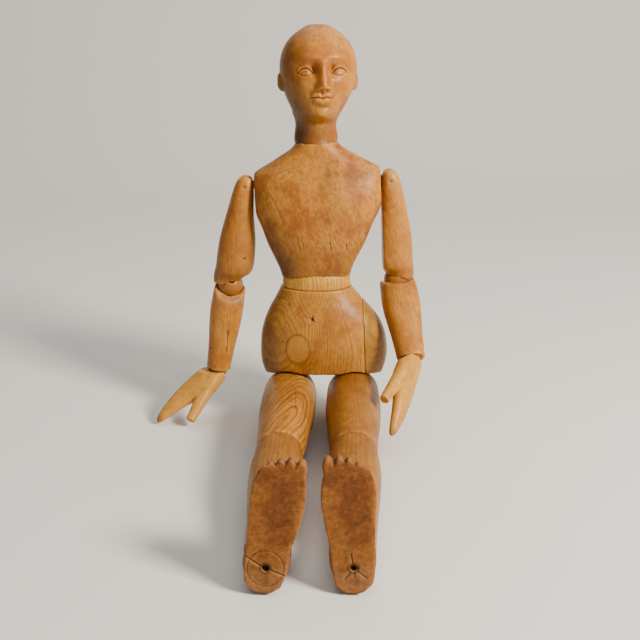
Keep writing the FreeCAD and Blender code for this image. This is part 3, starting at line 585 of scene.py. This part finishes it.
def mouth(x, z):
    v = x - MOUTH_X
    out = np.abs(v) / MOUTH_HALF
    bow = 0.35 * band(np.abs(v), 4.2, 2.4) - 0.5 * band(v, 0.0, 1.8)
    line = MOUTH_Z + bow - 0.5 * out ** 2
    ends, full = smooth_step(1.12, 0.72, out), smooth_step(1.02, 0.4, out)
    depth = -1.1 * band(z, line, 0.8) * ends
    depth += 0.9 * band(z, line + 2.3, 1.9) * ends * (1 - 0.3 * band(v, 0.0, 1.2))
    depth += 1.5 * band(z, line - 3.1, 2.5) * full
    depth -= 1.4 * bump_at(v, z, 0.0, 22.6, 6.5, 1.7)
    depth -= 0.7 * bump_at(v, z, 0.0, 34.4, 1.2, 1.6)
    return depth - 0.7 * bump_at(np.abs(v), z, MOUTH_HALF + 0.2, MOUTH_Z - 0.4, 2.0, 1.8)


def forward(block, depth_of):
    """Moves the front of a block forward by depth_of(x, z)."""
    p = block.local
    facing = smooth_step(2.0, 12.0, -p[:, 1])
    p[:, 1] -= depth_of(p[:, 0], p[:, 2]) * facing
    block.set_local(p)


def shape_egg(head):
    """Takes the plain nose block away, rounds the crown and thins the ear lobes."""
    p = head.local
    near_nose = smooth_step(11, 8.5, np.abs(p[:, 0] - FACE_X)) * smooth_step(31, 34, p[:, 2])
    near_nose *= smooth_step(64, 60, p[:, 2]) * smooth_step(15, 22, -p[:, 1])
    flat = -egg_front(p[:, 0], p[:, 2])
    p[:, 1] += (np.maximum(flat, p[:, 1]) - p[:, 1]) * near_nose
    crown = smooth_step(78.0, 87.0, p[:, 2])
    p[:, 2] += 1.2 * crown * np.exp(-(np.hypot(p[:, 0] - FACE_X, p[:, 1] - 3.0) / 12.5) ** 2)
    side = np.abs(p[:, 0] - FACE_X)
    egg_half = np.interp(p[:, 2], (17, 26, 37, 48), (22.5, 27.0, 31.0, 33.2))
    lobe = 0.65 * smooth_step(38, 30, p[:, 2])
    p[:, 0] -= np.sign(p[:, 0] - FACE_X) * lobe * np.maximum(side - egg_half, 0)
    head.set_local(p)


def carve_ears(head):
    """A rim round each ear, and a hollow in it."""
    p = head.local
    ears = np.abs(p[:, 0] - FACE_X) > EAR_FROM
    y, z = p[:, 1] - 3, (p[:, 2] - EAR_Z) / 1.1
    reach = np.hypot(y, z)
    head.push(ears * (1.1 * band(reach, 5.6, 1.4) - 1.6 * band(reach, 2.4, 2.0)) * (np.abs(z) < 12))


def carve_face(head):
    """The nose, eyes and mouth, each on a mesh fine enough to hold it."""
    p = head.local
    head.refine((np.abs(p[:, 0] - FACE_X) < 25) & (p[:, 2] > 19) & (p[:, 2] < 63) & (p[:, 1] < -12))
    forward(head, nose)
    p = head.local
    fine = (np.abs(p[:, 0] - MOUTH_X) < 11) & (np.abs(p[:, 2] - 30) < 5.5)
    for middle in EYES:
        fine |= (np.abs(p[:, 0] - middle) < 9.5) & (np.abs(p[:, 2] - 52.5) < 6.5)
    head.refine(fine & (p[:, 1] < -12))
    for middle in EYES:
        forward(head, lambda x, z: eye(x, z, middle))
    forward(head, mouth)
    # The nostrils are painted dark as well: painted shade in the recess.
    for side in (-1, 1):
        nostril = head.surface_point(NOSE_X + side * 2.7, 36.9)
        head.gouge(nostril, nostril + (0, 0.6, 0.3), 1.1, 1.3, 0.8, (0, -0.8, -0.6))


def carve_head():
    head = Carving("head", 0.8, 5)
    shape_egg(head)
    forward(head, broad_face)
    carve_ears(head)
    carve_face(head)
    head.push(0.10 * lattice_noise(head.local, np.array([12.0, 12.0, 20.0]), 4))
    p = head.local
    # Painted shading: the top of the head lighter, painted shade on its -X side and towards the chin and neck.
    painted_shading = 0.05 * smooth_step(55, 75, p[:, 2]) - 0.50 * smooth_step(14, -30, p[:, 0])
    painted_shading -= 0.34 * smooth_step(46, 4, p[:, 2])
    return head.finish(WOODS["head"], (95, 60, 0.04, 0.02), painted_shading=painted_shading)


# ------------------------------------------------------------------ trunk

FRONT = (0, -1, 0)


def carve_torso():
    torso = Carving("torso", 1.0, 4)
    torso.tool_marks(0.22, 5)
    for x, z, radius in ((21.5, 95.0, 0.8), (19.4, 84.6, 1.2), (16.6, 71.0, 0.8), (13.5, 37.6, 1.1),
                         (28.4, 34.0, 1.2), (30.6, 36.4, 0.7), (-33.0, 88.0, 0.6), (-20.0, 100.0, 0.6)):
        torso.pit(x, z, radius, 0.35, 0.6)
    torso.scratch(13.4, 40.5, 13.8, 33.0, 0.5, 0.3, 0.55)
    torso.scratch(27.6, 37.0, 28.4, 31.6, 0.5, 0.3, 0.5)
    torso.scratch(-31.0, 100.0, -16.0, 104.5, 0.6, 0.2, 0.15)
    for x, top, low in ((-15.0, 45.0, 33.0), (-11.5, 43.0, 34.0), (-8.0, 40.0, 30.0), (2.0, 41.0, 32.0),
                        (7.5, 36.0, 29.5)):
        torso.scratch(x, top, x + 1.2, low, 0.4, 0.25, 0.0)
    p = torso.local
    # Painted shading: darker towards the bottom and the -X side, with a painted highlight high on the +X side.
    painted_shading = -0.36 * smooth_step(66, 20, p[:, 2]) - 0.26 * smooth_step(5, -45, p[:, 0])
    painted_shading += 0.10 * bump_at(p[:, 0], p[:, 2], 34, 88, 18, 20)
    stain = 0.42 * bump_at(p[:, 0], p[:, 2], 13, 92, 6, 16) + 0.34 * bump_at(p[:, 0], p[:, 2], 12, 60, 8, 9)
    stain += 0.3 * bump_at(p[:, 0], p[:, 2], 34, 96, 9, 5)
    stain *= smooth_step(-8, -16, p[:, 1]) * (0.7 + 0.6 * lattice_noise(p, 5.0, 12))
    return torso.finish(WOODS["trunk"], (88, 62, 0.16, 0.32), painted_shading=painted_shading, dirt_and_painted_shade=np.clip(stain, 0, 1))


def carve_pelvis():
    pelvis = Carving("pelvis", 1.0, 4)
    pelvis.tool_marks(0.25, 6)
    for a, b in (((-11.5, 79.5), (-7.0, 76.0)), ((-9.5, 75.5), (-8.6, 80.0)), ((-8.5, 78.0), (-3.5, 77.4))):
        pelvis.scratch(*a, *b, 0.8, 0.5, 0.7)
    pelvis.pit(-9.1, 77.6, 1.6, 0.8, 0.85)
    pelvis.pit(-36.0, 56.0, 1.1, 0.5, 0.6)
    pelvis.pit(-30.0, 90.0, 2.2, 0.2, 0.45)
    pelvis.scratch(-50.0, 36.0, -50.5, 27.0, 0.5, 0.4, 0.6)
    p = pelvis.local
    # Painted shading: darker towards the bottom and the -X side, and a little darker all over.
    painted_shading = -0.20 * smooth_step(42, 18, p[:, 2]) - 0.38 * smooth_step(-20, -56, p[:, 0]) - 0.06
    knots = [((-9.1, -26.9, 77.6), 2.8, FRONT), ((-21.8, -28.2, 49.7), 10.5, FRONT)]
    return pelvis.finish(WOODS["pelvis"], (70, 95, -0.35, 0.25), knots, painted_shading=painted_shading)


def carve_trunk():
    slab = Carving("pelvis_side_block", 1.0, 4)
    slab.tool_marks(0.25, 8)
    slab.finish(WOODS["slab"], (10, 60, 0.5, 0.0), painted_shading=0.0)
    waist = Carving("waist_ball", 1.0, 4)
    waist.finish(WOODS["waist"], (90, 40, 0, 0))
    return {"head": carve_head(), "torso": carve_torso(), "pelvis": carve_pelvis(),
            "pelvis_side_block": slab.piece, "waist_ball": waist.piece}


# ------------------------------------------------------------------ arms and legs

def carve_upper_arm(side):
    arm = Carving("upper_arm_" + side, 0.9, 3)
    arm.tool_marks(0.25, 21 if side == "right" else 22)
    arm.wear_edges(0.5, 3)
    top = -16.5 if side == "right" else -9.0
    arm.scratch(-8.0, top, 8.0, top - 2.5, 0.45, 0.35, 0.5)
    if side == "right":
        arm.pit(9.0, -64.0, 1.4, 0.8, 0.7)
    p = arm.local
    # Painted shading: lighter above the top scratch, darker towards the elbow; the right upper arm darker all
    # over.
    painted_shading = 0.12 * smooth_step(top - 2, top + 2, p[:, 2]) - 0.16 * smooth_step(-40, -90, p[:, 2])
    painted_shading -= 0.2 if side == "right" else 0.0
    return arm.finish(WOODS["arm"], (60, 45, 0.05, 0.04), painted_shading=painted_shading)


def carve_forearm(side):
    arm = Carving("forearm_" + side, 0.9, 3)
    arm.tool_marks(0.25, 31 if side == "right" else 32)
    arm.wear_edges(0.6, 5)
    if side == "right":
        arm.scratch(2.8, -40.0, 4.2, -51.0, 0.4, 0.45, 0.55)
        arm.scratch(4.2, -52.0, 5.2, -60.0, 0.4, 0.4, 0.4)
        arm.pit(-10.2, -61.0, 1.0, 1.6, 1.0)
        arm.scratch(-9.6, -60.0, -8.8, -66.0, 0.35, 0.4, 0.6)
    else:
        arm.scratch(-6.0, -4.0, -5.0, -19.0, 0.3, 0.5, 0.7)
    p = arm.local
    # Painted light near the elbow on the -Y face.
    painted_shading = 0.16 * smooth_step(-24, -10, p[:, 2]) * smooth_step(-2, -10, p[:, 1])
    dirt = 0.30 * smooth_step(-26, -14, p[:, 2]) * smooth_step(-4, -11, p[:, 1])
    dirt *= (1 + lattice_noise(p, 4.0, 9)) / 2
    # Painted shade: the left forearm darker all over.
    painted_shading -= 0.12 if side == "left" else 0.0
    return arm.finish(WOODS["arm"], (-58, 48, 0.05, 0.0), painted_shading=painted_shading, dirt_and_painted_shade=dirt)


def carve_hand(side):
    hand = Carving("hand_" + side, 0.7, 4)
    hand.tool_marks(0.22, 41 if side == "right" else 42)
    p = hand.local
    # The fingertips are painted darker.
    tips = 0.6 * smooth_step(-64.0, -74.0, p[:, 2] + 2 * lattice_noise(p, 4.0, 13))
    # Painted shading: darker towards the fingers; the right hand darker all over.
    painted_shading = -0.08 * smooth_step(-30, -60, p[:, 2]) - (0.12 if side == "right" else 0.0)
    return hand.finish(WOODS["hand"], (45, 34, 0.1, 0.0), painted_shading=painted_shading, dirt_and_painted_shade=tips)


def carve_thigh(side):
    thigh = Carving("thigh_" + side, 0.9, 3)
    thigh.tool_marks(0.25, 51 if side == "right" else 52)
    thigh.wear_edges(0.6, 7)
    if side == "left":
        thigh.scratch(-9.0, -123.5, 11.0, -126.5, 0.4, 0.3, 0.0)
        thigh.scratch(-4.0, -20.0, -3.0, -60.0, 0.3, 0.3, 0.45)
        # Painted shade: the left thigh darker all over.
        return thigh.finish(WOODS["leg"], (62, -58, 0.06, 0.06), painted_shading=-0.34)
    thigh.scratch(8.0, -60.0, 10.0, -96.0, 0.3, 0.2, 0.3)
    # Painted shade: the right thigh a little darker all over.
    return thigh.finish(WOODS["coarse_leg"], (46, -46, -0.35, 0.2), painted_shading=-0.12)


def carve_shin(side):
    shin = Carving("shin_" + side, 0.9, 3)
    shin.tool_marks(0.25, 61 if side == "right" else 62)
    shin.wear_edges(0.6, 9)
    # Painted shade: the shins darker all over.
    return shin.finish(WOODS["leg"], (-52, 58, 0.04, 0.05), painted_shading=-0.38)


SOLE_Z = -21.0                      # the sole, below the ankle
HEEL_MIDDLE = 3.5                   # where the heel turns round, behind the ankle
HEEL_HALF = 14.6


def carve_foot(side):
    foot = Carving("foot_" + side, 0.7, 3)
    p = foot.local
    round_heel = HEEL_HALF * np.sqrt(np.clip(1 - ((p[:, 1] - HEEL_MIDDLE) / 14.9) ** 2, 0.05, 1))
    block_heel = np.interp(p[:, 1], (HEEL_MIDDLE, 8, 14, 18), (HEEL_HALF, 13.8, 11.4, 7.5))
    p[:, 0] *= np.where(p[:, 1] > HEEL_MIDDLE, np.minimum(round_heel / block_heel, 1.0), 1.0)
    foot.set_local(p)
    foot.tool_marks(0.3, 71 if side == "right" else 72)
    foot.wear_edges(0.9, 11)
    under = (0, 0, -1)
    if side == "right":
        for a, b in (((-15.0, -6.5), (-4.0, -1.6)), ((-4.0, -1.6), (4.5, 1.0)), ((4.5, 1.0), (13.0, 3.0))):
            foot.gouge((*a, SOLE_Z), (*b, SOLE_Z), 0.6, 0.9, 0.95, under)
        foot.refine(foot.normals[:, 2] < -0.7)
        p = foot.local
        ring = band(np.hypot(p[:, 0], p[:, 1]), 12.4, 0.5) * smooth_step(0.6, 0.9, -foot.normals[:, 2])
        foot.push(-0.35 * ring)
    else:
        for turn in (0.7, 1.5, 2.3, 4.6):
            way = np.array([math.cos(turn), math.sin(turn)])
            reach = 8.0 + 2.5 * math.sin(turn * 3)
            foot.gouge((*(way * 3.0), SOLE_Z), (*(way * reach), SOLE_Z), 0.5, 0.5, 0.6, under)
        ring = 0.0
    p = foot.local
    sole = smooth_step(0.5, 0.9, -foot.normals[:, 2])
    heel = smooth_step(-20.0, 6.0, p[:, 1] + 3 * lattice_noise(p, 7.0, 23)) * sole
    grime = 0.25 * sole * np.clip(lattice_noise(p, 3.0, 19) + 0.6 * lattice_noise(p, 9.0, 20), 0, 1)
    grime += 0.3 * ring * np.clip(0.6 + lattice_noise(p, 6.0, 24), 0, 1)
    grime = np.maximum(grime, 0.8 * smooth_step(5.5, 3.0, np.hypot(p[:, 0], p[:, 1])) * sole)
    rim = np.hypot(p[:, 0], (p[:, 1] + 34) * 0.4) + 3 * lattice_noise(p, 8.0, 25)
    # Painted shading: the sole darker towards the toes, lighter towards the heel, and the foot's sides lighter.
    painted_shading = 0.12 * heel + 0.10 * smooth_step(6.0, 20.0, rim) * sole - 0.12
    painted_shading += 0.2 * (1 - sole)
    return foot.finish(WOODS["foot"], (30, 20, 0.1, 0.3), painted_shading=painted_shading, dirt_and_painted_shade=grime)


def carve_ball(node, wood):
    ball = Carving(node, 0.7 if "wrist" in node else 0.8, 3)
    # Painted shade: the joint balls a little darker.
    return ball.finish(WOODS[wood], (24, 12, 0, 0), painted_shading=-0.05)


def carve_all():
    made = carve_trunk()
    limbs = {"upper_arm": carve_upper_arm, "forearm": carve_forearm, "hand": carve_hand, "thigh": carve_thigh,
             "shin": carve_shin, "foot": carve_foot}
    for side in SIDES:
        for part, carve in limbs.items():
            made[part + "_" + side] = carve(side)
        for part in ("elbow", "wrist", "hip", "knee", "ankle"):
            node = part + "_ball_" + side
            made[node] = carve_ball(node, "leg" if part == "hip" else "joint")
    return made


PIECES = carve_all()


def plain_grain(node):
    """Gives a small CAD piece the coordinates that the wood material reads."""
    piece = frame["nodes"][node]
    count = len(piece.data.vertices)
    p = mesh_points(node) / MM
    put(piece, "grain", np.stack([p[:, 0], p[:, 1], p[:, 2]], 1))
    put(piece, "marks", np.tile([0.0, 0.0, 9.0], (count, 1)))
    put(piece, "tint", np.zeros((count, 3)))
    piece.data.materials.clear()
    piece.data.materials.append(WOODS["joint"])


for small in frame["nodes"]:
    if small not in PIECES:
        plain_grain(small)


# ------------------------------------------------------------------ room, light and camera

CAMERA_ASIDE = -0.002               # from the middle of the hips
CAMERA_BACK = 0.944
CAMERA_UP = 0.400
CAMERA_DOWN = math.radians(17.84)   # how far it looks down
LENS = 60.8


def stage_and_camera():
    hips = (joint_at("hip_swing_right") + joint_at("hip_swing_left")) / 2
    scene = bpy.context.scene
    floor_mesh = bpy.data.meshes.new("floor")
    half, depth, curve, height = 3.0, 1.1, 0.5, 3.0
    rows = [(-half, 0.0), (depth, 0.0)]
    for k in range(1, 13):
        a = math.pi / 2 * k / 12
        rows.append((depth + curve * math.sin(a), curve * (1 - math.cos(a))))
    rows.append((depth + curve, height))
    points = [(x, y, z) for y, z in rows for x in (-half, half)]
    faces = [(2 * k, 2 * k + 1, 2 * k + 3, 2 * k + 2) for k in range(len(rows) - 1)]
    floor_mesh.from_pydata(points, [], faces)
    floor_mesh.polygons.foreach_set("use_smooth", [True] * len(faces))
    floor = bpy.data.objects.new("floor", floor_mesh)
    scene.collection.objects.link(floor)
    paper = Nodes("backdrop_paper")
    shader = paper.add("ShaderNodeBsdfPrincipled", {"Base Color": rgb(222, 219, 212), "Roughness": 0.9})
    paper.add("ShaderNodeOutputMaterial", {"Surface": shader.outputs[0]})
    floor_mesh.materials.append(paper.material)

    camera = bpy.data.objects.new("camera", bpy.data.cameras.new("camera"))
    camera.data.lens = LENS
    camera.location = (hips[0] + CAMERA_ASIDE, hips[1] - CAMERA_BACK, CAMERA_UP)
    camera.rotation_euler = (math.radians(90) - CAMERA_DOWN, 0, 0)
    scene.collection.objects.link(camera)
    scene.camera = camera

    def lamp(name, where, aim, size, power, tone):
        """A soft box, size metres square."""
        light = bpy.data.lights.new(name, "AREA")
        light.shape = "RECTANGLE"
        light.size = size
        light.size_y = size
        light.energy = power
        light.color = tone
        holder = bpy.data.objects.new(name, light)
        holder.location = where
        holder.rotation_euler = (Vector(aim) - Vector(where)).to_track_quat("-Z", "Y").to_euler()
        scene.collection.objects.link(holder)

    lamp("key", (1.25, -0.85, 1.1), (0, 0, 0.2), 0.45, 68, (1.0, 0.94, 0.84))
    lamp("fill", (-1.4, -1.2, 1.1), (0, 0, 0.15), 1.6, 2.5, (0.93, 0.96, 1.0))
    lamp("top", (0.1, 0.5, 1.9), (0, 0.1, 0), 2.0, 22, (1.0, 0.99, 0.97))
    world = bpy.data.worlds.new("world")
    world.use_nodes = True
    world.node_tree.nodes["Background"].inputs[0].default_value = (0.9, 0.93, 1.0, 1)
    world.node_tree.nodes["Background"].inputs[1].default_value = 0.2
    scene.world = world


stage_and_camera()
